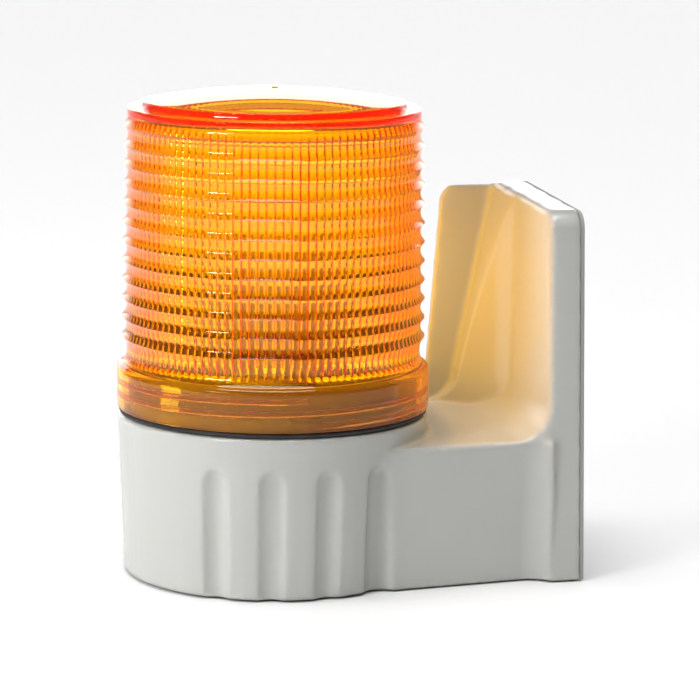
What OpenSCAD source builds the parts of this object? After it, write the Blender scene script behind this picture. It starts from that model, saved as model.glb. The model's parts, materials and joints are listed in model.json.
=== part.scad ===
// Wall-mounted amber warning light: a screw-on ringed lens over a round
// housing cup, carried by a hollow arm and wall plate moulded in one piece.
// Frame: millimetres, +Z up, origin on the wall at the middle of the wall
// plate, wall at Y = 0, lamp towards -Y.

/* [Housing cup] */
// Radius of the cup at its rim
cup_r = 62.3; // [61.8:0.1:62.8]
// Radius of the cup at its foot
foot_r = 59.9; // [59.4:0.1:60.4]
// Height of the cup
cup_h = 64.5; // [63:0.5:66]
// Wall thickness of the housing
wall = 3; // [2.6:0.1:3.4]
// Distance from the wall to the axis of the lamp
reach = 116; // [114:1:120]
// Radius of the cutter that leaves a grip flute
flute_r = 7.6; // [7:0.2:8]
// Depth of a grip flute
flute_depth = 2.5; // [2:0.1:2.8]

/* [Bracket] */
// Height of the wall plate
plate_h = 150; // [146:1:154]
// Width of the wall plate at its foot
plate_foot_w = 101; // [99:1:103]
// Width of the wall plate at its top
plate_top_w = 84; // [82:1:88]
// Drop of the plate's top edge from the cheek side to the open side
top_drop = 3; // [0:0.5:4]
// Depth of the wall plate
plate_d = 12.5; // [12:0.5:14]
// Height of the arm
arm_h = 56.5; // [55:0.5:58]
// Thickness of the side cheek
cheek_t = 4.5; // [4:0.5:6]
// Radius of the sweep between the wall plate and the cheek
sweep_r = 46; // [42:1:48]

/* [Lens] */
// Outside radius of the smooth band at the foot of the lens
band_r = 62.5; // [62:0.1:63]
// Crest radius of the top ring
ring_top_r = 59.5; // [59.2:0.1:59.8]
// Crest radius of the lowest ring
ring_low_r = 60.4; // [60.2:0.1:60.8]
// Number of rings
ring_n = 12; // [10:1:12]
// Height from one ring to the next
ring_pitch = 7.6; // [7.4:0.05:7.7]
// Depth of the valley between two rings
ring_depth = 1.7; // [1.2:0.1:1.9]
// Height of the smooth band
band_h = 16; // [15:0.5:17]
// Thickness of the rubber gasket under the lens
gasket_t = 2.4; // [2:0.1:3]
// Pitch of the lens thread
thread_pitch = 5; // [5:0.5:5]
// Turns of the lens thread
thread_turns = 2; // [2:1:2]

/* [Light unit] */
// Height of the LED column above the chassis plate
column_h = 45; // [40:1:55]
// Corner radius of the six-sided LED column
column_r = 14; // [13:0.5:15]
// LEDs on each side board
leds_per_board = 4; // [3:1:4]

/* [Wall fixing] */
// Spacing of the wall holes across
hole_dx = 54; // [50:1:58]
// Spacing of the wall holes up and down
hole_dz = 90; // [80:1:96]
// Radius of a wall hole
hole_r = 2.75; // [2.25:0.25:3.25]
// Radius of the hole through the cable grommet
cable_r = 4; // [3:0.5:5]

/* [Hidden] */
$fn = 96;

eps = 0.01;
base_z = -plate_h / 2;
rim_z = base_z + cup_h;
arm_z = base_z + arm_h;
seal_t = 1.5;                        // foam seal between the housing and the wall
neck_r = 56.9;                       // outside radius of the threaded neck
neck_h = 17.5;
neck_bore_r = neck_r - wall;
lug_r = 58.5;                        // outer radius of the lugs on the neck
lug_t = 1.4;
lug_angle = 12;
band_bore_r = 59;                    // bore of the lens band
ridge_r = 57.4;                      // inner radius of the lens thread
ridge_t = 1.6;
lens_z = rim_z + gasket_t;           // foot of the lens
thread_z = lens_z + 2.1;             // middle of the first turn at its start
bore_r = 55.4;                       // inside radius of the lens above the band
ring_low_z = lens_z + 28.4;          // crest of the lowest ring
ring_top_z = ring_low_z + (ring_n - 1) * ring_pitch;
lip_z = ring_top_z + 7;              // top of the rim round the raised disc
disc_r = 52;
disc_z = lip_z + 2.7;
dome_z = disc_z + 5.4;
flute_top_z = rim_z - 12.8;
flute_angles = [-34, -13, 8, 29];    // measured from +X, and mirrored to the far side
cup_taper = atan((cup_r - foot_r) / cup_h);
foot_edge = 1.5;
cup_bore_r = 55.8;
cover_z = base_z + 1.8;              // underside of the foot cover
cover_t = 2.4;
ledge_z = cover_z + cover_t + 1.5;   // underside of the ledge that the foot cover seals to
cover_screw_r = 46.5;
chassis_z = rim_z + 10.5;            // underside of the chassis plate
chassis_t = 3;
chassis_r = 53.4;
chassis_screw_r = 50.6;
ledge_t = 3;
board_t = 1.6;
board_z = chassis_z - 25;            // top face of the driver board
board_r = 40;
standoff_r = 34;
column_z = chassis_z + chassis_t;
lead_x = 22;                         // from the axis to the LED lead
flat_r = column_r * cos(30);         // from the axis to a flat of the column
back_wall = 3;
plate_back = -seal_t;                // rear face of the housing
switch_x = -22;
switch_y = -8;
bracket_t = 1.5;
bracket_w = 70;
flange_z = base_z + 9;               // underside of the lower flange of the wall bracket
bracket_h = -2 * flange_z;
flange_l = 8;
lock_x = 24;
lock_y = -6.2;
lock_head = 1.2;
arm_waist = 45.2;                    // half width of the arm where it is narrowest
flare_r = 13;
hook_z = 52;
hook_x = 20;
hook_w = 14;
corner_r = 7.5;
sweep_x = -cheek_x(0) + 8;

// Half width of the wall plate at height z
function cheek_x(z) =
    (plate_foot_w + (plate_top_w - plate_foot_w) * (z - base_z) / plate_h) / 2;
// Distance of the rear edge of the cheek's inner face from the wall
function crease_d(z) = 14 + (plate_h / 2 - z) * 0.183;
// Distance of the cheek's front edge from the wall
function edge_d(z) = 36 + (plate_h / 2 - z) * 0.05;
function arc(x, y, r, a0, a1, n) =
    [for (i = [0 : n]) let (a = a0 + (a1 - a0) * i / n) [x + r * cos(a), y + r * sin(a)]];
function mirrored(points) =
    concat(points, [for (i = [len(points) - 1 : -1 : 0]) [-points[i][0], points[i][1]]]);

module at_axis(z) translate([0, -reach, z]) children();
module around(n, r, start = 0) {
    for (i = [0 : n - 1])
        rotate([0, 0, start + i * 360 / n])
            translate([r, 0, 0])
                children();
}
module ring(r_out, r_in, h) {
    difference() {
        cylinder(r = r_out, h = h);
        translate([0, 0, -1])
            cylinder(r = r_in, h = h + 2);
    }
}
// Solid whose side view in Y and Z is the given outline, w wide in X
module side_prism(points, w) {
    translate([w / 2, 0, 0])
        rotate([90, 0, -90])
            linear_extrude(height = w)
                polygon([for (p = points) [-p[0], p[1]]]);
}
// Pan head screw with its head below the origin and its shank upwards
module screw(head_r, head_h, shank_r, length) {
    translate([0, 0, -head_h])
        difference() {
            cylinder(r = head_r, h = head_h, $fn = 32);
            translate([-head_r * 0.6, -0.4, -eps])
                cube([head_r * 1.2, 0.8, head_h * 0.5]);
            translate([-0.4, -head_r * 0.6, -eps])
                cube([0.8, head_r * 1.2, head_h * 0.5]);
        }
    cylinder(r = shank_r, h = length, $fn = 32);
}

// ---- Housing -------------------------------------------------------------

// Front view of the wall plate, inset by a margin
module plate_outline(inset = 0) {
    r = max(corner_r - inset, 1);
    top = plate_h / 2 - inset;
    foot = base_z + inset;
    foot_x = cheek_x(base_z) - inset;
    top_x = cheek_x(plate_h / 2) - inset;
    polygon(concat(
        [[-foot_x, foot], [foot_x, foot]],
        arc(top_x - r, top - top_drop - r, r, 0, 90, 10),
        arc(r - top_x, top - r, r, 90, 180, 10)));
}
module plate_prism(depth, inset = 0) {
    rotate([90, 0, 0])
        linear_extrude(height = depth)
            plate_outline(inset);
}
module arm_outline() {
    side = [[54.4, -reach + 28], [51.8, -reach + 35.5], [50.6, -reach + 42]];
    flare = arc(arm_waist + flare_r, -24.2, flare_r, 180, 128, 8);
    polygon(mirrored(concat([[34, -reach]], side, flare, [[arm_waist + 4.3, -plate_d]])));
}
module arm_room() {
    polygon(mirrored([
        [38, -reach + 30], [46.8, -reach + 44], [arm_waist - wall, -26],
        [arm_waist - wall, -plate_d + wall]]));
}
module sweep_cutter() {
    reach_x = 2 * plate_foot_w;
    translate([0, 0, arm_z])
        linear_extrude(height = plate_h) {
            translate([sweep_x + sweep_r - 8, -plate_d - seal_t - sweep_r])
                circle(r = sweep_r, $fn = 160);
            translate([sweep_x + sweep_r - 8, -plate_d - seal_t - 2 * sweep_r])
                square([reach_x, 2 * sweep_r]);
        }
}
// Web between the wall plate and the cheek: its front follows the crease
module sweep_web() {
    fillet_r = 14;
    low_z = arm_z + fillet_r;
    low_d = crease_d(low_z);
    difference() {
        intersection() {
            plate_prism(60);
            side_prism(concat(
                [[-seal_t, plate_h / 2], [-crease_d(plate_h / 2), plate_h / 2], [-low_d, low_z]],
                arc(-low_d - fillet_r, low_z, fillet_r, 0, -90, 8),
                [[-low_d - fillet_r, arm_z - 1], [-seal_t, arm_z - 1]]), 2 * plate_foot_w);
        }
        sweep_cutter();
    }
}
module cheek() {
    r = 6;
    top = plate_h / 2;
    d = edge_d(top);
    difference() {
        intersection() {
            plate_prism(60);
            side_prism(concat(
                [[-seal_t, top]], arc(-d + r, top - r, r, 90, 180, 8),
                [[-edge_d(arm_z), arm_z + 6], [-edge_d(arm_z) - 6, arm_z - 1], [-seal_t, arm_z - 1]]),
                2 * plate_foot_w);
        }
        translate([cheek_t, 0, 0])
            rotate([90, 0, 0])
                linear_extrude(height = 70)
                    polygon([
                        [-cheek_x(base_z), base_z], [-cheek_x(top + 10), top + 10],
                        [plate_foot_w, top + 10], [plate_foot_w, base_z]]);
    }
}
// Rounded corner between the wall plate and the top of the arm
module arm_fillet() {
    r = 14;
    y = -plate_d - seal_t;
    intersection() {
        plate_prism(60);
        side_prism(concat(
            [[y + 1, arm_z - 1], [y + 1, arm_z + r]], arc(y - r, arm_z + r, r, 0, -90, 8),
            [[y - r, arm_z - 1]]), 2 * (cheek_x(arm_z) - 1.5));
    }
}
module grip_flutes() {
    for (side = [0, 1])
        mirror([side, 0, 0])
            for (a = flute_angles)
                rotate([0, 0, a])
                    translate([foot_r + flute_r - flute_depth, 0, 0])
                        rotate([0, cup_taper, 0]) {
                            translate([0, 0, -2])
                                cylinder(r = flute_r, h = flute_top_z - base_z - flute_r + 4,
                                    $fn = 48);
                            translate([0, 0, flute_top_z - base_z - flute_r + 2])
                                sphere(r = flute_r, $fn = 48);
                        }
}
module cup_outside() {
    at_axis(base_z) {
        cylinder(r1 = foot_r - foot_edge, r2 = foot_r, h = foot_edge);
        translate([0, 0, foot_edge])
            cylinder(r1 = foot_r, r2 = cup_r, h = cup_h - foot_edge);
    }
    at_axis(rim_z - eps)
        cylinder(r = neck_r, h = neck_h + eps);
}
module neck_lugs() {
    for (k = [0 : 2])
        at_axis(thread_z + thread_pitch * (k / 3 + 0.5) - lug_t / 2)
            rotate([0, 0, k * 120 - lug_angle / 2])
                rotate_extrude(angle = lug_angle, $fn = 96)
                    translate([neck_r - 0.6, 0])
                        square([lug_r - neck_r + 0.6, lug_t]);
}
module boss(r, hole, h) {
    difference() {
        cylinder(r = r, h = h, $fn = 32);
        translate([0, 0, -1])
            cylinder(r = hole, h = h + 2, $fn = 32);
    }
}
module housing_shell() {
    difference() {
        union() {
            cup_outside();
            translate([0, 0, base_z])
                linear_extrude(height = arm_h)
                    arm_outline();
            translate([0, plate_back, 0])
                plate_prism(plate_d);
            sweep_web();
            cheek();
            arm_fillet();
        }
        at_axis(base_z)
            grip_flutes();
        // room inside the cup, open at the foot and through the neck
        at_axis(base_z - 1)
            cylinder(r = cup_bore_r, h = cup_h - wall + 1);
        at_axis(base_z)
            cylinder(r = neck_bore_r, h = cup_h + neck_h + 1);
        // room inside the arm
        translate([0, 0, base_z + wall])
            linear_extrude(height = arm_h - 2 * wall)
                arm_room();
        // room behind the wall plate
        translate([0, 1, 0])
            plate_prism(plate_d - back_wall + seal_t + 1, wall);
        translate([-60, plate_back, base_z - 1])
            cube([120, 5, plate_h + 2]);
        // clearance holes of the lock screws
        for (x = [-lock_x, lock_x])
            translate([x, lock_y, base_z - 1]) {
                cylinder(r = 2.2, h = 6, $fn = 32);
                cylinder(r = 4, h = lock_head + 1, $fn = 32);
            }
    }
}
module housing() color([0.86, 0.86, 0.84]) {
    difference() {
        union() {
            housing_shell();
            neck_lugs();
            at_axis(ledge_z)
                ring(cup_bore_r + 1, 53, 2.4);
            at_axis(ledge_z - 1.5)
                around(3, cover_screw_r, 90)
                    boss(4, 1.3, 18);
            at_axis(ledge_z)
                around(3, 51.5, 90)
                    translate([0, 0, 8])
                        cube([12.4, 3, 16], center = true);
            at_axis(chassis_z - ledge_t)
                ring(neck_bore_r + 1, 48, ledge_t);
            at_axis(chassis_z - 9)
                around(3, chassis_screw_r, 30)
                    boss(3.4, 1.25, 9);
            // hooks that hang on the tabs of the wall bracket
            for (x = [-hook_x, hook_x])
                translate([x - hook_w / 2, -plate_d + back_wall - seal_t - 1, hook_z])
                    cube([hook_w, 8.5, 3]);
        }
        at_axis(chassis_z - 8)
            around(3, chassis_screw_r, 30)
                cylinder(r = 1.25, h = 10, $fn = 32);
        at_axis(ledge_z - 2)
            around(3, cover_screw_r, 90)
                cylinder(r = 1.3, h = 15, $fn = 32);
    }
}

// ---- Lens ----------------------------------------------------------------

function ring_r(z) =
    ring_top_r + (ring_low_r - ring_top_r) * (ring_top_z - z) / (ring_top_z - ring_low_z);
// Ringed wall from the lowest crest up: shallow curved valleys between the crests
function ringed_wall() = [
    for (i = [0 : ring_n - 2])
        for (k = [0 : 5])
            let (t = k / 6, z = ring_low_z + (i + t) * ring_pitch)
                [ring_r(z) - ring_depth * (1 - pow(2 * t - 1, 2)), z]
];
module lens_section() {
    shoulder_z = lens_z + band_h;
    valley_r = ring_low_r - ring_depth;
    dome_r = (pow(disc_r, 2) + pow(dome_z - disc_z, 2)) / (2 * (dome_z - disc_z));
    dome_a = asin(disc_r / dome_r);
    polygon(concat(
        [[band_bore_r, lens_z], [band_r - 0.5, lens_z], [band_r, lens_z + 0.5],
            [band_r, shoulder_z - 1]],
        arc(band_r - 3, shoulder_z - 1, 3, 10, 70, 4),
        [[valley_r + 0.3, shoulder_z + 4.5], [valley_r, ring_low_z - ring_pitch * 0.5],
            [valley_r + 0.7, ring_low_z - ring_pitch * 0.25]],
        ringed_wall(),
        [[ring_top_r, ring_top_z], [ring_top_r - 1.5, ring_top_z + 3],
            [ring_top_r - 1.3, lip_z - 0.6], [ring_top_r - 2, lip_z],
            [disc_r + 0.8, lip_z], [disc_r + 0.4, disc_z - 0.4]],
        [for (i = [0 : 8]) let (a = dome_a * (1 - i / 8))
            [dome_r * sin(a), dome_z - dome_r * (1 - cos(a))]],
        [for (i = [0 : 8]) let (a = dome_a * i / 8)
            [(dome_r - 3) * sin(a), dome_z - 3 - (dome_r - 3) * (1 - cos(a))]],
        [[bore_r - 2, lip_z - 3.2], [bore_r, lip_z - 6], [bore_r + 0.6, shoulder_z + 4],
            [band_bore_r, shoulder_z + 1.5]]));
}
// Thread inside the band: a ridge that climbs one pitch a turn
module lens_thread() {
    steps = 48 * thread_turns;
    root_r = band_bore_r + 0.8;
    section = [[root_r, -1.2], [ridge_r, -ridge_t / 2], [ridge_r, ridge_t / 2], [root_r, 1.2]];
    points = [
        for (i = [0 : steps])
            let (a = i * 360 / 48, z = thread_z + thread_pitch * i / 48)
                for (p = section) [p[0] * cos(a), p[0] * sin(a), z + p[1]]
    ];
    faces = concat(
        [[0, 1, 2, 3]],
        [for (i = [0 : steps - 1]) for (k = [0 : 3])
            let (a = i * 4 + k, b = i * 4 + (k + 1) % 4) [a, a + 4, b + 4]],
        [for (i = [0 : steps - 1]) for (k = [0 : 3])
            let (a = i * 4 + k, b = i * 4 + (k + 1) % 4) [a, b + 4, b]],
        [[steps * 4 + 3, steps * 4 + 2, steps * 4 + 1, steps * 4]]);
    polyhedron(points = points, faces = faces);
}
module lens() color([1, 0.62, 0.05, 0.75]) {
    at_axis(0) {
        rotate_extrude($fn = 120)
            lens_section();
        lens_thread();
    }
}
module lens_gasket() color([0.1, 0.1, 0.11]) {
    at_axis(rim_z)
        ring(cup_r - 0.6, lug_r + 0.3, gasket_t);
}

// ---- Foot cover ----------------------------------------------------------

module bottom_cover() color([0.8, 0.8, 0.78]) {
    at_axis(cover_z)
        difference() {
            cylinder(r = cup_bore_r - 0.3, h = cover_t);
            translate([0, 0, -1])
                around(3, cover_screw_r, 90)
                    cylinder(r = 1.7, h = cover_t + 2, $fn = 32);
            // drain holes
            translate([0, 0, -1])
                around(4, 36, 45)
                    cylinder(r = 1.5, h = cover_t + 2, $fn = 32);
        }
}
module bottom_cover_seal() color([0.12, 0.12, 0.12]) {
    at_axis(cover_z + cover_t)
        ring(cup_bore_r - 0.4, 53.4, ledge_z - cover_z - cover_t);
}
module bottom_cover_screws() color([0.7, 0.7, 0.72]) {
    at_axis(cover_z)
        around(3, cover_screw_r, 90)
            screw(2.9, 1.6, 1.3, 11);
}

// ---- Light unit ----------------------------------------------------------

module chassis_plate() color([0.16, 0.16, 0.17]) {
    at_axis(chassis_z)
        difference() {
            cylinder(r = chassis_r, h = chassis_t);
            translate([0, 0, -1])
                around(3, chassis_screw_r, 30)
                    cylinder(r = 1.6, h = chassis_t + 2, $fn = 32);
            translate([0, 0, -1])
                around(3, standoff_r, 90)
                    cylinder(r = 1.5, h = chassis_t + 2, $fn = 32);
            rotate([0, 0, 30])
                translate([lead_x, 0, -1])
                    cylinder(r = 3.2, h = chassis_t + 2, $fn = 32);
            translate([0, 0, -1])
                cylinder(r = 2, h = chassis_t + 2, $fn = 32);
        }
}
module chassis_screws() color([0.75, 0.75, 0.78]) {
    at_axis(chassis_z + chassis_t)
        around(3, chassis_screw_r, 30)
            mirror([0, 0, 1])
                screw(2.6, 1.5, 1.25, 10);
}
module led_column() color([0.75, 0.76, 0.78]) {
    at_axis(column_z)
        difference() {
            union() {
                cylinder(r = column_r, h = column_h, $fn = 6);
                cylinder(r = column_r + 5, h = 2.5);
            }
            translate([0, 0, -1])
                cylinder(r = 2, h = column_h + 2, $fn = 32);
            for (i = [0 : 5])
                rotate([0, 0, 60 * i + 30])
                    translate([flat_r - 2.6, 0, 8])
                        cylinder(r = 1, h = column_h, $fn = 24);
        }
}
module led_boards() color([0.93, 0.94, 0.92]) {
    at_axis(column_z + 3)
        around(6, flat_r, 30)
            translate([0, -6, 0])
                cube([1.2, 12, column_h - 4]);
}
module led(size, h) {
    translate([-size / 2, -size / 2, 0])
        cube([size, size, h * 0.5]);
    translate([0, 0, h * 0.5 - eps])
        cylinder(r = size * 0.42, h = h * 0.5, $fn = 24);
}
module side_leds() color([1, 0.85, 0.3]) {
    step = (column_h - 4) / leds_per_board;
    at_axis(column_z + 3 + step / 2)
        around(6, flat_r + 1.2, 30)
            for (k = [0 : leds_per_board - 1])
                translate([0, 0, k * step])
                    rotate([0, 90, 0])
                        led(5, 1.8);
}
module top_board() color([0.93, 0.94, 0.92]) {
    at_axis(column_z + column_h)
        ring(11.5, 2, 1.2);
}
module top_leds() color([1, 0.85, 0.3]) {
    at_axis(column_z + column_h + 1.2)
        around(5, 7.8)
            led(3.6, 1.6);
}
module column_screw() color([0.75, 0.75, 0.78]) {
    at_axis(column_z + column_h + 1.2)
        mirror([0, 0, 1])
            screw(3.6, 2.2, 2, column_h + 1.2 + chassis_t + 5);
}
module column_nut() color([0.75, 0.75, 0.78]) {
    at_axis(chassis_z - 3.2)
        difference() {
            cylinder(r = 4, h = 3.2, $fn = 6);
            translate([0, 0, -1])
                cylinder(r = 2, h = 6, $fn = 32);
        }
}

// ---- Driver --------------------------------------------------------------

module board_standoffs() color([0.85, 0.7, 0.35]) {
    at_axis(board_z)
        around(3, standoff_r, 90)
            difference() {
                union() {
                    cylinder(r = 3, h = chassis_z - board_z, $fn = 6);
                    translate([0, 0, chassis_z - board_z - eps])
                        cylinder(r = 1.5, h = chassis_t, $fn = 32);
                }
                translate([0, 0, -1])
                    cylinder(r = 1.25, h = 10, $fn = 32);
            }
}
module driver_board() color([0.1, 0.42, 0.22]) {
    at_axis(board_z - board_t)
        difference() {
            cylinder(r = board_r, h = board_t);
            translate([0, 0, -1])
                around(3, standoff_r, 90)
                    cylinder(r = 1.5, h = board_t + 2, $fn = 32);
        }
}
module board_screws() color([0.75, 0.75, 0.78]) {
    at_axis(board_z - board_t)
        around(3, standoff_r, 90)
            screw(2.6, 1.5, 1.25, 8);
}
module filter_capacitor() color([0.12, 0.14, 0.3]) {
    at_axis(board_z)
        translate([-18, -12, 0]) {
            cylinder(r = 6.3, h = 16, $fn = 48);
            translate([0, 0, 16 - eps])
                cylinder(r = 5.6, h = 0.6, $fn = 48);
        }
}
module driver_inductor() color([0.6, 0.35, 0.12]) {
    at_axis(board_z)
        translate([6, -20, 0])
            ring(8, 3.4, 7);
}
module driver_chips() color([0.1, 0.1, 0.1]) {
    at_axis(board_z) {
        translate([-12, 8, 0])
            cube([10, 6, 1.8]);
        translate([4, 12, 0])
            cube([6, 5, 1.6]);
        translate([-26, 12, 0])
            cube([7, 9, 4.5]);
    }
}
module led_connector() color([0.95, 0.94, 0.88]) {
    at_axis(board_z)
        rotate([0, 0, 30])
            translate([lead_x - 3, -5, 0])
                difference() {
                    cube([6, 10, 7]);
                    translate([1, 1, 2])
                        cube([4, 8, 6]);
                }
}
module led_lead() color([0.8, 0.1, 0.08]) {
    run = column_z - board_z + 2.2;
    at_axis(board_z + 2)
        rotate([0, 0, 30])
            for (y = [-1.3, 1.3])
                translate([lead_x, y, 0]) {
                    cylinder(r = 0.8, h = run, $fn = 24);
                    translate([0, 0, run])
                        sphere(r = 0.8, $fn = 24);
                    translate([0, 0, run])
                        rotate([0, -90, 0])
                            cylinder(r = 0.8, h = lead_x - flat_r - 1.2, $fn = 24);
                }
}
module terminal_block() color([0.12, 0.35, 0.2]) {
    at_axis(board_z - board_t - 10)
        translate([-7.5, 16, 0])
            difference() {
                cube([21, 9, 10]);
                for (k = [0 : 2])
                    translate([3.5 + 7 * k, 4.5, -1])
                        cylinder(r = 2.1, h = 5, $fn = 32);
                for (k = [0 : 2])
                    translate([1.4 + 7 * k, 6, 4.6])
                        cube([4.2, 5, 3.6]);
            }
}
module terminal_screws() color([0.75, 0.75, 0.78]) {
    at_axis(board_z - board_t - 8)
        for (k = [0 : 2])
            translate([-4 + 7 * k, 20.5, 0])
                difference() {
                    cylinder(r = 2, h = 2, $fn = 32);
                    translate([-2.5, -0.4, -1])
                        cube([5, 0.8, 1.8]);
                }
}
module mode_switch() color([0.15, 0.15, 0.16]) {
    at_axis(board_z - board_t - 4)
        translate([switch_x, switch_y, 0])
            difference() {
                cube([12, 6, 4]);
                translate([2.4, 2, -1])
                    cube([7.2, 2, 3]);
            }
}
module mode_slider() color([0.95, 0.95, 0.95]) {
    at_axis(board_z - board_t - 4 - 1.8)
        translate([switch_x + 2.8, switch_y + 2.3, 0])
            cube([2.4, 1.4, 3.4]);
}

// ---- Wall side -----------------------------------------------------------

module wall_bracket() color([0.7, 0.72, 0.74]) {
    difference() {
        union() {
            translate([-bracket_w / 2, -bracket_t, -bracket_h / 2])
                cube([bracket_w, bracket_t, bracket_h]);
            // upper tabs that carry the hooks of the housing
            for (x = [-hook_x, hook_x])
                translate([x - hook_w / 2 + 1, -bracket_t - 5.5, hook_z - 1.5])
                    cube([hook_w - 2, 5.5 + eps, 1.5]);
            // lower flange for the lock screws
            translate([-bracket_w / 2, -flange_l, flange_z])
                cube([bracket_w, flange_l, bracket_t]);
        }
        for (x = [-1, 1])
            for (z = [-1, 1])
                translate([x * hole_dx / 2, 1, z * hole_dz / 2])
                    rotate([90, 0, 0])
                        cylinder(r = hole_r, h = bracket_t + 2, $fn = 32);
        translate([0, 1, 0])
            rotate([90, 0, 0])
                cylinder(r = 9, h = bracket_t + 2);
        for (x = [-lock_x, lock_x])
            translate([x, lock_y, flange_z - 1])
                cylinder(r = 1.6, h = bracket_t + 2, $fn = 32);
        translate([-14, 1, -24])
            rotate([90, 0, 0])
                cylinder(r = 1.3, h = bracket_t + 2, $fn = 32);
        for (x = [-8, 8])
            translate([x, 1, -34])
                rotate([90, 0, 0])
                    cylinder(r = 1.3, h = bracket_t + 2, $fn = 32);
    }
}
module wall_gasket() color([0.15, 0.15, 0.15]) {
    difference() {
        plate_prism(seal_t, 0.4);
        translate([0, 1, 0])
            plate_prism(seal_t + 2, wall);
    }
}
module lock_screws() color([0.75, 0.75, 0.78]) {
    for (x = [-lock_x, lock_x])
        translate([x, lock_y, base_z + lock_head])
            screw(3.2, lock_head, 1.6, flange_z - base_z + 4);
}
module lock_nuts() color([0.75, 0.75, 0.78]) {
    for (x = [-lock_x, lock_x])
        translate([x, lock_y + 0.1, flange_z + bracket_t])
            difference() {
                cylinder(r = 3.1, h = 2.4, $fn = 6);
                translate([0, -0.1, -1])
                    cylinder(r = 1.6, h = 5, $fn = 32);
            }
}
module cable_grommet() color([0.1, 0.1, 0.1]) {
    rotate([90, 0, 0])
        difference() {
            union() {
                cylinder(r = 9, h = 5);
                translate([0, 0, bracket_t])
                    cylinder(r = 11, h = 1.6);
            }
            translate([0, 0, -1])
                cylinder(r = cable_r, h = 8);
        }
}
module cable_clamp() color([0.85, 0.85, 0.83]) {
    translate([0, -bracket_t, -34])
        difference() {
            translate([-11.5, -5.5, -4])
                cube([23, 5.5, 8]);
            translate([-4, -3, -5])
                cube([8, 4, 10]);
            for (x = [-8, 8])
                translate([x, 1, 0])
                    rotate([90, 0, 0])
                        cylinder(r = 1.3, h = 8, $fn = 32);
        }
}
module cable_clamp_screws() color([0.75, 0.75, 0.78]) {
    for (x = [-8, 8])
        translate([x, -bracket_t - 5.5, -34])
            rotate([-90, 0, 0])
                screw(2.4, 1.4, 1.3, 6.8);
}
module earth_screw() color([0.8, 0.72, 0.4]) {
    translate([-14, -bracket_t, -24])
        rotate([-90, 0, 0])
            screw(2.8, 1.8, 1.3, 1.4);
}

housing();
wall_bracket();
wall_gasket();
lock_screws();
lock_nuts();
cable_grommet();
cable_clamp();
cable_clamp_screws();
bottom_cover();
bottom_cover_seal();
bottom_cover_screws();
lens();
lens_gasket();
chassis_plate();
chassis_screws();
led_column();
led_boards();
side_leds();
top_board();
top_leds();
column_screw();
column_nut();
board_standoffs();
driver_board();
board_screws();
filter_capacitor();
driver_inductor();
driver_chips();
led_connector();
led_lead();
terminal_block();
terminal_screws();
mode_switch();
mode_slider();
earth_screw();
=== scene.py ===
"""Wall-mounted amber warning light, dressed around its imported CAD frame. Units are metres."""

import json
import math

import bmesh
import bpy
import numpy as np
from mathutils import Matrix, Vector


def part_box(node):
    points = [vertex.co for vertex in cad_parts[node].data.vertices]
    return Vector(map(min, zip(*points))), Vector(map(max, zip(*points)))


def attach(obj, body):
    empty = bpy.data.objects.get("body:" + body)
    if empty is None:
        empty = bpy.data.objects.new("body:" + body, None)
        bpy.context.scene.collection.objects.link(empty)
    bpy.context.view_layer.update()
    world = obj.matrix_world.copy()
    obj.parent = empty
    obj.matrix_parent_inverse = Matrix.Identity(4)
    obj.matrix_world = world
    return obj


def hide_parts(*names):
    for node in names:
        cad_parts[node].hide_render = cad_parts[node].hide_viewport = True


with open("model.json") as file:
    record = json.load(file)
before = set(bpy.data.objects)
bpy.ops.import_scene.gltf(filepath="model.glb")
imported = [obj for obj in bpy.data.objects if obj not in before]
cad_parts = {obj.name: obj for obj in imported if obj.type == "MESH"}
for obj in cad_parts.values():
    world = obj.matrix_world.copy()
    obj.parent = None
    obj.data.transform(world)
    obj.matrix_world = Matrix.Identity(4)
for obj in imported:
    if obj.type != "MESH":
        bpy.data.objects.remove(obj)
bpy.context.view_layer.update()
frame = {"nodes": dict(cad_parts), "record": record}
nodes = frame["nodes"]

MM = 0.001
lens_low, lens_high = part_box("lens")
AXIS = ((lens_low.x + lens_high.x) / 2, (lens_low.y + lens_high.y) / 2)
LENS_Z = lens_low.z
GASKET_LOW, GASKET_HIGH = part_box("lens_gasket")
HOUSING_LOW, HOUSING_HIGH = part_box("housing")
FLOOR_Z = HOUSING_LOW.z


# ---- Materials -------------------------------------------------------------

def new_material(name):
    mat = bpy.data.materials.new(name)
    mat.use_nodes = True
    tree = mat.node_tree
    return mat, tree, tree.nodes["Principled BSDF"]


def noise(tree, scale, detail=4.0, stretch=(1, 1, 1)):
    coords = tree.nodes.new("ShaderNodeTexCoord")
    mapping = tree.nodes.new("ShaderNodeMapping")
    mapping.inputs["Scale"].default_value = stretch
    tex = tree.nodes.new("ShaderNodeTexNoise")
    tex.inputs["Scale"].default_value = scale
    tex.inputs["Detail"].default_value = detail
    tree.links.new(coords.outputs["Object"], mapping.inputs["Vector"])
    tree.links.new(mapping.outputs["Vector"], tex.inputs["Vector"])
    return tex


def ramp(tree, source, low, high, at=(0.35, 0.65)):
    node = tree.nodes.new("ShaderNodeValToRGB")
    node.color_ramp.elements[0].position, node.color_ramp.elements[1].position = at
    node.color_ramp.elements[0].color = (*low, 1)
    node.color_ramp.elements[1].color = (*high, 1)
    tree.links.new(source, node.inputs["Fac"])
    return node.outputs["Color"]


def spread(tree, source, low, high):
    node = tree.nodes.new("ShaderNodeMapRange")
    node.inputs["To Min"].default_value = low
    node.inputs["To Max"].default_value = high
    tree.links.new(source, node.inputs["Value"])
    return node.outputs["Result"]


def bump(tree, shader, source, strength, distance):
    node = tree.nodes.new("ShaderNodeBump")
    node.inputs["Strength"].default_value = strength
    node.inputs["Distance"].default_value = distance
    tree.links.new(source, node.inputs["Height"])
    tree.links.new(node.outputs["Normal"], shader.inputs["Normal"])


def shaded(color, factor):
    return tuple(min(1.0, c * factor) for c in color)


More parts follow.
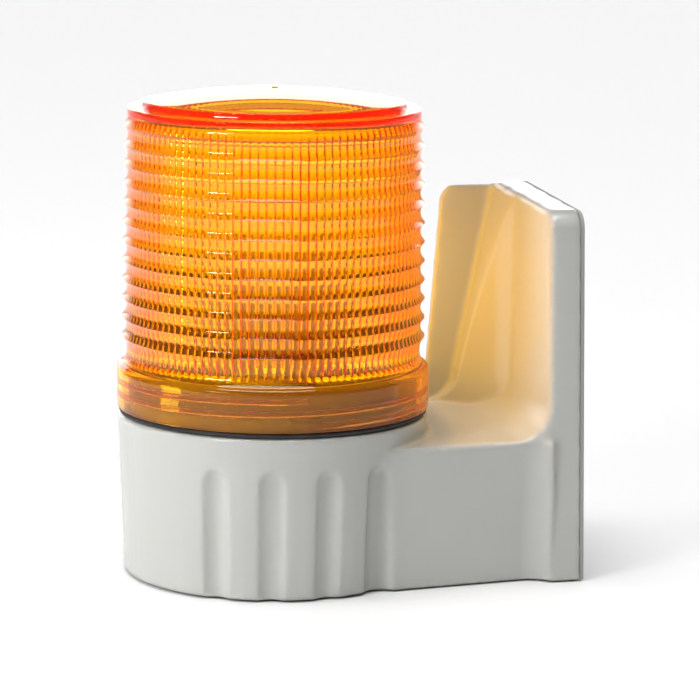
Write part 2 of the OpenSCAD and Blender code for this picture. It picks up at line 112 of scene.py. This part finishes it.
def plastic(name, color, rough, vary, grain, grain_scale, coat=0.0):
    mat, tree, bsdf = new_material(name)
    broad = noise(tree, 18, 3)
    tones = ramp(tree, broad.outputs["Fac"], shaded(color, 1 - vary), shaded(color, 1 + vary))
    tree.links.new(tones, bsdf.inputs["Base Color"])
    tree.links.new(spread(tree, noise(tree, 60, 5).outputs["Fac"], rough * 0.85, rough * 1.15),
                   bsdf.inputs["Roughness"])
    bsdf.inputs["IOR"].default_value = 1.5
    bsdf.inputs["Coat Weight"].default_value = coat
    bsdf.inputs["Coat Roughness"].default_value = 0.08
    bump(tree, bsdf, noise(tree, grain_scale, 6).outputs["Fac"], grain, 0.00008)
    return mat


def metal(name, color, rough, stretch):
    """Brushed metal; stretch sets the direction of the brushing."""
    mat, tree, bsdf = new_material(name)
    bsdf.inputs["Metallic"].default_value = 1
    brushed = noise(tree, 320, 6, stretch)
    cloudy = noise(tree, 55, 4)
    tones = ramp(tree, cloudy.outputs["Fac"], shaded(color, 0.86), shaded(color, 1.06))
    tree.links.new(tones, bsdf.inputs["Base Color"])
    sheen = spread(tree, brushed.outputs["Fac"], rough * 0.7, rough * 1.4)
    tree.links.new(sheen, bsdf.inputs["Roughness"])
    bump(tree, bsdf, brushed.outputs["Fac"], 0.12, 0.00006)
    return mat


def rubber(name, color):
    mat, tree, bsdf = new_material(name)
    dust = noise(tree, 140, 5)
    tones = ramp(tree, dust.outputs["Fac"], shaded(color, 0.7), shaded(color, 1.6))
    tree.links.new(tones, bsdf.inputs["Base Color"])
    sheen = spread(tree, noise(tree, 300, 5).outputs["Fac"], 0.5, 0.72)
    tree.links.new(sheen, bsdf.inputs["Roughness"])
    bump(tree, bsdf, noise(tree, 1400, 6).outputs["Fac"], 0.3, 0.0001)
    return mat


def board(name, mask, copper):
    """Solder resist with faint tracks under it."""
    mat, tree, bsdf = new_material(name)
    coords = tree.nodes.new("ShaderNodeTexCoord")
    tracks = tree.nodes.new("ShaderNodeTexVoronoi")
    tracks.distance = "MANHATTAN"
    tracks.inputs["Scale"].default_value = 210
    tree.links.new(coords.outputs["Object"], tracks.inputs["Vector"])
    tree.links.new(ramp(tree, tracks.outputs["Distance"], mask, copper, (0.28, 0.34)),
                   bsdf.inputs["Base Color"])
    sheen = spread(tree, noise(tree, 500, 4).outputs["Fac"], 0.22, 0.36)
    tree.links.new(sheen, bsdf.inputs["Roughness"])
    bump(tree, bsdf, tracks.outputs["Distance"], 0.25, 0.00004)
    return mat


def winding(name, color, centre, turns):
    """Enamelled wire wound round a ring core whose middle is at centre (x, y), with painted shade
    in the grooves between the turns.
    """
    mat, tree, bsdf = new_material(name)
    coords = tree.nodes.new("ShaderNodeTexCoord")
    mapping = tree.nodes.new("ShaderNodeMapping")
    mapping.inputs["Location"].default_value = (-centre[0], -centre[1], 0)
    wave = tree.nodes.new("ShaderNodeTexGradient")
    wave.gradient_type = "RADIAL"
    times = tree.nodes.new("ShaderNodeMath")
    times.operation = "MULTIPLY"
    times.inputs[1].default_value = turns
    pong = tree.nodes.new("ShaderNodeMath")
    pong.operation = "PINGPONG"
    pong.inputs[1].default_value = 0.5
    tree.links.new(coords.outputs["Object"], mapping.inputs["Vector"])
    tree.links.new(mapping.outputs["Vector"], wave.inputs["Vector"])
    tree.links.new(wave.outputs["Fac"], times.inputs[0])
    tree.links.new(times.outputs["Value"], pong.inputs[0])
    # painted shade: the wire colour falls to a quarter in the grooves between turns, where the
    # bump is lowest
    tree.links.new(ramp(tree, pong.outputs["Value"], shaded(color, 0.25), color, (0.05, 0.4)),
                   bsdf.inputs["Base Color"])
    bsdf.inputs["Metallic"].default_value = 0.6
    bsdf.inputs["Roughness"].default_value = 0.3
    bump(tree, bsdf, pong.outputs["Value"], 0.8, 0.0004)
    return mat


def lamp_plastic(name):
    """Clear amber polycarbonate, dyed through."""
    mat, tree, bsdf = new_material(name)
    bsdf.inputs["Base Color"].default_value = (1, 0.79, 0.005, 1)
    bsdf.inputs["Transmission Weight"].default_value = 1.0
    bsdf.inputs["Specular Tint"].default_value = (1, 0.92, 0.75, 1)
    bsdf.inputs["IOR"].default_value = 1.5
    sheen = spread(tree, noise(tree, 90, 4).outputs["Fac"], 0.0, 0.03)
    tree.links.new(sheen, bsdf.inputs["Roughness"])
    bump(tree, bsdf, noise(tree, 160, 3).outputs["Fac"], 0.05, 0.00006)
    # the dye scatters a little red light back
    dye = tree.nodes.new("ShaderNodeBsdfDiffuse")
    dye.inputs["Color"].default_value = (0.95, 0.17, 0.003, 1)
    mix = tree.nodes.new("ShaderNodeMixShader")
    mix.inputs["Fac"].default_value = 0.05
    tree.links.new(bsdf.outputs["BSDF"], mix.inputs[1])
    tree.links.new(dye.outputs["BSDF"], mix.inputs[2])
    tree.links.new(mix.outputs["Shader"], tree.nodes["Material Output"].inputs["Surface"])
    absorb = tree.nodes.new("ShaderNodeVolumeAbsorption")
    absorb.inputs["Color"].default_value = (0.995, 0.35, 0.02, 1)
    absorb.inputs["Density"].default_value = 60
    tree.links.new(absorb.outputs["Volume"], tree.nodes["Material Output"].inputs["Volume"])
    return mat


def led_dome(name):
    mat, tree, bsdf = new_material(name)
    phosphor = noise(tree, 400, 3)
    tones = ramp(tree, phosphor.outputs["Fac"], (0.95, 0.62, 0.08), (1.0, 0.80, 0.25))
    tree.links.new(tones, bsdf.inputs["Base Color"])
    bsdf.inputs["Roughness"].default_value = 0.12
    bsdf.inputs["Coat Weight"].default_value = 0.6
    bsdf.inputs["Subsurface Weight"].default_value = 0.25
    bsdf.inputs["Subsurface Radius"].default_value = (0.0012, 0.0008, 0.0003)
    bump(tree, bsdf, noise(tree, 900, 3).outputs["Fac"], 0.08, 0.00005)
    return mat


ABS = (0.435, 0.443, 0.415)
MATERIALS = {
    "grey_abs": plastic("grey_abs", ABS, 0.2, 0.012, 0.03, 500, 0.25),
    "grey_abs_matt": plastic("grey_abs_matt", shaded(ABS, 0.95), 0.45, 0.03, 0.3, 1100),
    "zinc_steel": metal("zinc_steel", (0.62, 0.64, 0.66), 0.34, (1, 1, 8)),
    "black_rubber": rubber("black_rubber", (0.018, 0.018, 0.02)),
    "grey_foam": plastic("grey_foam", shaded(ABS, 0.8), 0.8, 0.06, 0.5, 1200),
    "steel": metal("steel", (0.66, 0.67, 0.68), 0.26, (6, 6, 1)),
    "white_nylon": plastic("white_nylon", (0.72, 0.71, 0.66), 0.42, 0.03, 0.2, 800),
    "amber_polycarbonate": lamp_plastic("amber_polycarbonate"),
    "black_plastic": plastic("black_plastic", (0.022, 0.022, 0.025), 0.4, 0.2, 0.3, 1000),
    "column_aluminium": metal("column_aluminium", (0.80, 0.81, 0.82), 0.3, (12, 12, 1)),
    "white_board": board("white_board", (0.80, 0.81, 0.78), (0.72, 0.73, 0.69)),
    "led_lens": led_dome("led_lens"),
    "brass": metal("brass", (0.78, 0.55, 0.22), 0.25, (4, 4, 1)),
    "green_board": board("green_board", (0.012, 0.11, 0.035), (0.035, 0.2, 0.07)),
    "blue_sleeve": plastic("blue_sleeve", (0.02, 0.035, 0.16), 0.25, 0.15, 0.1, 500, 0.3),
    "copper_winding": winding("copper_winding", (0.62, 0.22, 0.07), (0.006, -0.136), 44),
    "red_insulation": plastic("red_insulation", (0.5, 0.015, 0.01), 0.32, 0.1, 0.15, 700),
    "terminal_green": plastic("terminal_green", (0.02, 0.19, 0.07), 0.4, 0.08, 0.25, 900),
}
for part in frame["record"]["subparts"]:
    piece = nodes[part["node"]]
    piece.data.materials.clear()
    piece.data.materials.append(MATERIALS[part["material_slot"]])


# ---- Mesh helpers ----------------------------------------------------------

def add_object(name, verts, faces, slot, body):
    mesh = bpy.data.meshes.new(name)
    mesh.from_pydata(verts, [], faces)
    mesh.update()
    obj = bpy.data.objects.new(name, mesh)
    bpy.context.scene.collection.objects.link(obj)
    mesh.polygons.foreach_set("use_smooth", [True] * len(mesh.polygons))
    mesh.materials.append(MATERIALS[slot])
    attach(obj, body)
    return obj


def sharpen(obj, degrees):
    obj.data.set_sharp_from_angle(angle=math.radians(degrees))


def arc(x, z, r, a0, a1, n):
    """Points on a circle from angle a0 to a1, in degrees."""
    return [(x + r * math.cos(math.radians(a0 + (a1 - a0) * i / n)),
             z + r * math.sin(math.radians(a0 + (a1 - a0) * i / n))) for i in range(n + 1)]


def revolve(profile, segments, shift=None):
    """Closed surface of revolution round the lamp's axis. profile: closed loop of (r, z), metres.
    shift(angles) gives what to add to the radius, one row an angle, one column a point."""
    n = len(profile)
    r = np.array([p[0] for p in profile])
    z = np.array([p[1] for p in profile])
    angles = np.arange(segments) * 2 * math.pi / segments
    radius = np.repeat(r[None, :], segments, 0)
    if shift is not None:
        radius = radius + shift(angles)
    verts = np.empty((segments, n, 3))
    verts[:, :, 0] = AXIS[0] + radius * np.cos(angles)[:, None]
    verts[:, :, 1] = AXIS[1] + radius * np.sin(angles)[:, None]
    verts[:, :, 2] = z[None, :]
    index = np.arange(segments * n).reshape(segments, n)
    right = np.roll(index, -1, 0)
    up = np.roll(index, -1, 1)
    both = np.roll(right, -1, 1)
    faces = np.stack([index, right, both, up], -1).reshape(-1, 4)
    return verts.reshape(-1, 3), faces


def weld(obj, distance):
    """Joins the points that meet on the axis and turns the faces outwards."""
    bm = bmesh.new()
    bm.from_mesh(obj.data)
    bmesh.ops.remove_doubles(bm, verts=bm.verts, dist=distance)
    bmesh.ops.recalc_face_normals(bm, faces=bm.faces)
    bm.to_mesh(obj.data)
    bm.free()
    obj.data.polygons.foreach_set("use_smooth", [True] * len(obj.data.polygons))


# ---- Lens ------------------------------------------------------------------

BAND_R = (lens_high.x - lens_low.x) / 2
RINGS = 12
PITCH = 7.6 * MM
CREST_TOP = 59.5 * MM
CREST_LOW = 60.4 * MM
DEPTH = 1.6 * MM
FLUTES = 114
FLUTE_STEPS = 6
CREST_Z0 = LENS_Z + 28.4 * MM
CREST_Z1 = CREST_Z0 + (RINGS - 1) * PITCH
SHOULDER_Z = LENS_Z + 16 * MM
LIP_Z = CREST_Z1 + 7.0 * MM
DISC_Z = LIP_Z + 2.7 * MM
DOME_Z = lens_high.z - 0.4 * MM
GATE_R = 1.3 * MM
DISC_R = 52 * MM
BORE_R = 55.4 * MM


def crest_r(z):
    return CREST_TOP + (CREST_LOW - CREST_TOP) * (CREST_Z1 - z) / (CREST_Z1 - CREST_Z0)


def dome(r_edge, z_edge, z_top, n, inward):
    """Spherical cap as a profile, from its edge to the axis or back."""
    radius = (r_edge ** 2 + (z_top - z_edge) ** 2) / (2 * (z_top - z_edge))
    edge = math.asin(r_edge / radius)
    steps = [edge * (1 - i / n) for i in range(n + 1)]
    if not inward:
        steps.reverse()
    return [(radius * math.sin(a), z_top - radius * (1 - math.cos(a))) for a in steps]


def lens_profile():
    """Outline of the lens wall and which points carry the inner flutes."""
    out = [(59.0 * MM, LENS_Z)]
    out += arc(BAND_R - 0.6 * MM, LENS_Z + 0.6 * MM, 0.6 * MM, -90, 0, 4)
    out += [(BAND_R, LENS_Z + k * MM) for k in (4, 8, 12)]
    out += arc(BAND_R - 2.6 * MM, SHOULDER_Z - 1.4 * MM, 2.6 * MM, 0, 72, 8)
    low = CREST_LOW - 1.9 * MM
    out += [(low + 0.5 * MM, SHOULDER_Z + 3.2 * MM), (low + 0.12 * MM, SHOULDER_Z + 5.0 * MM),
            (low, SHOULDER_Z + 6.6 * MM), (low + 0.25 * MM, CREST_Z0 - 3.2 * MM),
            (low + 0.95 * MM, CREST_Z0 - 1.4 * MM), (low + 1.5 * MM, CREST_Z0 - 0.5 * MM)]
    for i in range(RINGS - 1):
        for k in range(12):
            t = k / 12
            z = CREST_Z0 + (i + t) * PITCH
            out.append((crest_r(z) - DEPTH * (1 - abs(2 * t - 1) ** 2.2), z))
    top = CREST_TOP
    out += [(top, CREST_Z1), (top - 0.8 * MM, CREST_Z1 + 1.2 * MM),
            (top - 1.4 * MM, CREST_Z1 + 2.6 * MM), (top - 1.5 * MM, CREST_Z1 + 4.2 * MM)]
    out += arc(top - 2.1 * MM, LIP_Z - 0.7 * MM, 0.7 * MM, 10, 90, 5)
    out += [(DISC_R + 1.6 * MM, LIP_Z), (DISC_R + 0.7 * MM, LIP_Z + 0.1 * MM),
            (DISC_R + 0.35 * MM, LIP_Z + 1.0 * MM), (DISC_R + 0.2 * MM, DISC_Z - 0.8 * MM)]
    out += arc(DISC_R - 0.5 * MM, DISC_Z - 0.75 * MM, 0.7 * MM, 10, 80, 4)
    out += dome(DISC_R - 0.6 * MM, DISC_Z, DOME_Z, 18, True)[:-1]
    out += [(GATE_R, DOME_Z), (GATE_R * 0.9, lens_high.z), (0, lens_high.z)]
    out += dome(BORE_R - 2.4 * MM, DISC_Z - 5.6 * MM, DOME_Z - 3 * MM, 18, False)
    out += [(BORE_R - 1.4 * MM, DISC_Z - 6.2 * MM), (BORE_R - 0.4 * MM, DISC_Z - 7.6 * MM)]
    first = len(out)
    top_z = DISC_Z - 9.5 * MM
    low_z = SHOULDER_Z + 4.5 * MM
    for k in range(13):
        t = k / 12
        out.append((BORE_R + 0.6 * MM * t, top_z + (low_z - top_z) * t))
    last = len(out)
    out += [(BORE_R + 1.6 * MM, SHOULDER_Z + 3.0 * MM), (58.4 * MM, SHOULDER_Z + 1.4 * MM),
            (59.0 * MM, SHOULDER_Z + 0.4 * MM)]
    return out, first, last


profile, flute_from, flute_to = lens_profile()


def flute_shift(angles):
    t = (angles * FLUTES / (2 * math.pi)) % 1.0
    rib = 0.8 * MM * (2 * t - 1) ** 2 - 0.35 * MM
    shift = np.zeros((len(angles), len(profile)))
    shift[:, flute_from:flute_to] = rib[:, None]
    return shift


verts, faces = revolve(profile, FLUTES * FLUTE_STEPS, flute_shift)
lens = add_object("lens_shell", verts.tolist(), faces.tolist(), "amber_polycarbonate", "lens")
weld(lens, 1e-6)
sharpen(lens, 32)

# ridge of the lens thread, climbing inside the band
THREAD_PITCH = 5 * MM
THREAD_TURNS = 2
TURN_STEPS = 144
FADE_STEPS = 8
ROOT_R = 59.3
RIDGE = [(ROOT_R, -1.2), (57.9, -0.95), (57.5, -0.65), (57.5, 0.65), (57.9, 0.95), (ROOT_R, 1.2)]


def thread_ridge():
    steps = THREAD_TURNS * TURN_STEPS
    verts, faces = [], []
    for i in range(steps + 1):
        a = i * 2 * math.pi / TURN_STEPS
        z = LENS_Z + 2.1 * MM + THREAD_PITCH * i / TURN_STEPS
        fade = min(1.0, i / FADE_STEPS, (steps - i) / FADE_STEPS)
        for r, dz in RIDGE:
            rr = (ROOT_R - (ROOT_R - r) * fade) * MM
            verts.append((AXIS[0] + rr * math.cos(a), AXIS[1] + rr * math.sin(a), z + dz * MM))
    m = len(RIDGE)
    for i in range(steps):
        for k in range(m):
            a, b = i * m + k, i * m + (k + 1) % m
            faces.append((a, b, b + m, a + m))
    faces += [tuple(range(m - 1, -1, -1)), tuple(range(steps * m, steps * m + m))]
    return verts, faces


verts, faces = thread_ridge()
thread = add_object("lens_thread", verts, faces, "amber_polycarbonate", "lens")
weld(thread, 1e-7)
sharpen(thread, 40)
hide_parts("lens")


# ---- Gasket with a rounded bead --------------------------------------------

GASKET_IN = 57.4 * MM
GASKET_OUT = (GASKET_HIGH.x - GASKET_LOW.x) / 2
FLAT_OUT = GASKET_OUT - 2.4 * MM
BEAD_R = 0.9 * MM
BEAD_Z = GASKET_LOW.z + (GASKET_HIGH.z - GASKET_LOW.z) / 2
outline = [(GASKET_IN, GASKET_LOW.z), (FLAT_OUT, GASKET_LOW.z)]
outline += arc(GASKET_OUT - BEAD_R, BEAD_Z, BEAD_R, -80, 80, 8)
outline += [(FLAT_OUT, GASKET_HIGH.z), (GASKET_IN, GASKET_HIGH.z)]
verts, faces = revolve(outline, 256)
gasket = add_object("gasket_ring", verts.tolist(), faces.tolist(), "black_rubber", "gasket_ring")
weld(gasket, 1e-7)
sharpen(gasket, 50)
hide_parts("lens_gasket")


# ---- Housing: the CAD shape with the soft edges of a moulding ---------------

VOXEL = 0.0008
NECK_R = 59.5 * MM
NECK_WEIGHT = 0.35
EVEN_ROUNDS = 3
BROAD_ROUNDS = 24
PLATE_TOP = 0.075
EDGE_BOTTOM, EDGE_TAPER = 50.5, 8.5    # half the width of the plate at its foot, and its taper


def relax(co, edges, weight, rounds):
    """Moves each point towards the mean of its neighbours."""
    count = np.bincount(edges.ravel(), minlength=len(co)).astype(float)
    for _ in range(rounds):
        total = np.empty_like(co)
        for axis in range(3):
            total[:, axis] = (
                np.bincount(edges[:, 0], weights=co[edges[:, 1], axis], minlength=len(co))
                + np.bincount(edges[:, 1], weights=co[edges[:, 0], axis], minlength=len(co)))
        co += weight[:, None] * 0.5 * (total / count[:, None] - co)
    return co


def soft_housing():
    """The CAD housing on an even grid, relaxed so that its edges are rounded."""
    mesh = nodes["housing"].data.copy()
    obj = bpy.data.objects.new("housing_moulding", mesh)
    bpy.context.scene.collection.objects.link(obj)
    bm = bmesh.new()
    bm.from_mesh(mesh)
    bmesh.ops.remove_doubles(bm, verts=bm.verts, dist=1e-6)
    bm.to_mesh(mesh)
    bm.free()
    grid = obj.modifiers.new("grid", "REMESH")
    grid.mode = "VOXEL"
    grid.voxel_size = VOXEL
    bpy.context.view_layer.update()
    depsgraph = bpy.context.evaluated_depsgraph_get()
    shaped = bpy.data.meshes.new_from_object(obj.evaluated_get(depsgraph))
    obj.modifiers.clear()
    obj.data = shaped
    co = np.empty(len(shaped.vertices) * 3)
    shaped.vertices.foreach_get("co", co)
    co = co.reshape(-1, 3)
    edges = np.empty(len(shaped.edges) * 2, np.int32)
    shaped.edges.foreach_get("vertices", edges)
    edges = edges.reshape(-1, 2)
    from_axis = np.sqrt((co[:, 0] - AXIS[0]) ** 2 + (co[:, 1] - AXIS[1]) ** 2)
    neck = (from_axis < NECK_R) & (co[:, 2] > GASKET_LOW.z - 4 * MM)
    co = relax(co, edges, np.where(neck, NECK_WEIGHT, 1.0), EVEN_ROUNDS)
    # broad rounding at the top and the open side of the plate, and down its sweep
    x, y, z = co.T
    height = (z - HOUSING_LOW.z) / (HOUSING_HIGH.z - HOUSING_LOW.z)
    edge_x = (EDGE_BOTTOM - EDGE_TAPER * height) * MM
    near_top = np.clip((z - (PLATE_TOP - 0.008)) / 0.004, 0, 1)
    near_side = np.clip((x - (edge_x - 0.007)) / 0.003, 0, 1) * (z > -0.016)
    off_wall = np.clip((-0.006 - y) / 0.004, 0, 1)
    sweep = 0.8 * (z > -0.03) * np.clip((x + 0.028) / 0.006, 0, 1)
    broad = np.maximum(np.maximum(near_top, near_side * 0.6), sweep) * off_wall * (y > -0.06)
    co = relax(co, edges, broad, BROAD_ROUNDS)
    shaped.vertices.foreach_set("co", co.ravel())
    shaped.update()
    shaped.polygons.foreach_set("use_smooth", [True] * len(shaped.polygons))
    shaped.materials.clear()
    shaped.materials.append(MATERIALS["grey_abs"])
    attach(obj, "base")
    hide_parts("housing")
    return obj


housing = soft_housing()


# ---- Studio ----------------------------------------------------------------

def aim(obj, eye, target):
    obj.location = eye
    obj.rotation_euler = (Vector(target) - Vector(eye)).to_track_quat("-Z", "Y").to_euler()


SUBJECT = (0, -0.09, 0.02)


def softbox(name, azimuth, elevation, distance, width, height, power):
    """Area light aimed at the lamp. Azimuth is 0 in front of the wall, degrees towards +X."""
    light = bpy.data.lights.new(name, "AREA")
    light.shape = "RECTANGLE"
    light.size, light.size_y = width, height
    light.energy = power
    obj = bpy.data.objects.new(name, light)
    bpy.context.scene.collection.objects.link(obj)
    a, e = math.radians(azimuth), math.radians(elevation)
    eye = (SUBJECT[0] + distance * math.cos(e) * math.sin(a),
           SUBJECT[1] - distance * math.cos(e) * math.cos(a),
           SUBJECT[2] + distance * math.sin(e))
    aim(obj, eye, SUBJECT)
    return obj


softbox("key", 33, 26, 1.3, 0.42, 0.07, 5)
softbox("left", -6, 14, 1.5, 0.45, 0.45, 9).visible_glossy = False
sun = bpy.data.lights.new("overhead", "SUN")
sun.energy = 2.5
sun.angle = math.radians(40)
overhead = bpy.data.objects.new("overhead", sun)
bpy.context.scene.collection.objects.link(overhead)
aim(overhead, (0.2, -0.3, 3), (0, -0.1, 0))

# amber light that the lens throws on the moulding beside it; the base stops it below
spill = bpy.data.lights.new("amber_spill", "POINT")
spill.energy = 0.55
spill.color = (1, 0.52, 0.02)
spill.shadow_soft_size = 0.03
glow = bpy.data.objects.new("amber_spill", spill)
glow.location = (AXIS[0], AXIS[1] + 0.01, LENS_Z + 0.05)
bpy.context.scene.collection.objects.link(glow)
glow.visible_camera = glow.visible_glossy = glow.visible_transmission = False
lit_group = bpy.data.collections.new("lit_by_spill")
for piece in (housing, lens, thread):
    lit_group.objects.link(piece)
block_group = bpy.data.collections.new("blocks_spill")
block_group.objects.link(housing)
for name, piece in nodes.items():
    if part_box(name)[1].z < LENS_Z + 12 * MM:
        block_group.objects.link(piece)
glow.light_linking.receiver_collection = lit_group
glow.light_linking.blocker_collection = block_group

WALL_WAY = (-0.97, 0.24, 0.05)    # towards the bright wall of the room, behind the lamp
WALL_LIGHT = 2.6
ROOM_LIGHT = 0.13
WALL_TOP = (0.31, 0.35)           # the height, as a direction's z, over which the wall ends


def map_range(tree, source, ends, result):
    node = tree.nodes.new("ShaderNodeMapRange")
    node.inputs["From Min"].default_value, node.inputs["From Max"].default_value = ends
    node.inputs["To Min"].default_value, node.inputs["To Max"].default_value = result
    tree.links.new(source, node.inputs["Value"])
    return node


def studio_world():
    world = bpy.data.worlds.new("studio")
    world.use_nodes = True
    sky = world.node_tree
    backdrop = sky.nodes["Background"]
    backdrop.inputs["Color"].default_value = (1, 1, 1, 1)
    way = sky.nodes.new("ShaderNodeTexCoord")
    facing = sky.nodes.new("ShaderNodeVectorMath")
    facing.operation = "DOT_PRODUCT"
    facing.inputs[1].default_value = WALL_WAY
    split = sky.nodes.new("ShaderNodeSeparateXYZ")
    sky.links.new(way.outputs["Generated"], facing.inputs[0])
    sky.links.new(way.outputs["Generated"], split.inputs["Vector"])
    below = map_range(sky, split.outputs["Z"], WALL_TOP, (1, 0))
    lit = sky.nodes.new("ShaderNodeMath")
    lit.operation = "MULTIPLY"
    sky.links.new(facing.outputs["Value"], lit.inputs[0])
    sky.links.new(below.outputs["Result"], lit.inputs[1])
    level = map_range(sky, lit.outputs["Value"], (0.72, 0.95), (ROOM_LIGHT, WALL_LIGHT))
    level.interpolation_type = "SMOOTHSTEP"
    sky.links.new(level.outputs["Result"], backdrop.inputs["Strength"])
    return world


bpy.context.scene.world = studio_world()

FLOOR = 40.0
floor_mesh = bpy.data.meshes.new("floor")
floor_mesh.from_pydata([(x * FLOOR, y * FLOOR, FLOOR_Z - 0.0005)
                        for x, y in ((-1, -1), (1, -1), (1, 1), (-1, 1))], [], [(0, 1, 2, 3)])
floor = bpy.data.objects.new("floor", floor_mesh)
bpy.context.scene.collection.objects.link(floor)
floor_mat, _, floor_bsdf = new_material("studio_floor")
floor_bsdf.inputs["Base Color"].default_value = (0.92, 0.92, 0.92, 1)
floor_bsdf.inputs["Roughness"].default_value = 0.6
floor_mesh.materials.append(floor_mat)


# ---- Camera ----------------------------------------------------------------

CAMERA_AZIMUTH = math.radians(77)
CAMERA_DISTANCE = 1.25
CAMERA_HEIGHT = 0.314
CAMERA_YAW = math.radians(1.408)
CAMERA_PITCH = math.radians(10.15)
CAMERA_ROLL = math.radians(0.625)

camera = bpy.data.cameras.new("camera")
camera.sensor_width = 36
camera.lens = 163.2
camera.shift_y = -0.0057
camera.clip_start = 0.05
cam = bpy.data.objects.new("camera", camera)
bpy.context.scene.collection.objects.link(cam)
UP = Vector((0, 0, 1))
eye = Vector((AXIS[0] + CAMERA_DISTANCE * math.sin(CAMERA_AZIMUTH),
              AXIS[1] - CAMERA_DISTANCE * math.cos(CAMERA_AZIMUTH), FLOOR_Z + CAMERA_HEIGHT))
level = Vector((-math.sin(CAMERA_AZIMUTH), math.cos(CAMERA_AZIMUTH), 0))
heading = level * math.cos(CAMERA_YAW) + level.cross(UP) * math.sin(CAMERA_YAW)
forward = heading * math.cos(CAMERA_PITCH) - UP * math.sin(CAMERA_PITCH)
right = heading.cross(UP)
right_r = right * math.cos(CAMERA_ROLL) + right.cross(forward) * math.sin(CAMERA_ROLL)
up_r = right_r.cross(forward)
cam.matrix_world = Matrix((
    (right_r.x, up_r.x, -forward.x, eye.x),
    (right_r.y, up_r.y, -forward.y, eye.y),
    (right_r.z, up_r.z, -forward.z, eye.z),
    (0, 0, 0, 1)))
bpy.context.scene.camera = cam
# light crosses many faces of the clear lens
bpy.context.scene.cycles.max_bounces = 24
bpy.context.scene.cycles.transmission_bounces = 24
bpy.context.scene.cycles.glossy_bounces = 24
bpy.context.scene.view_settings.view_transform = "Standard"
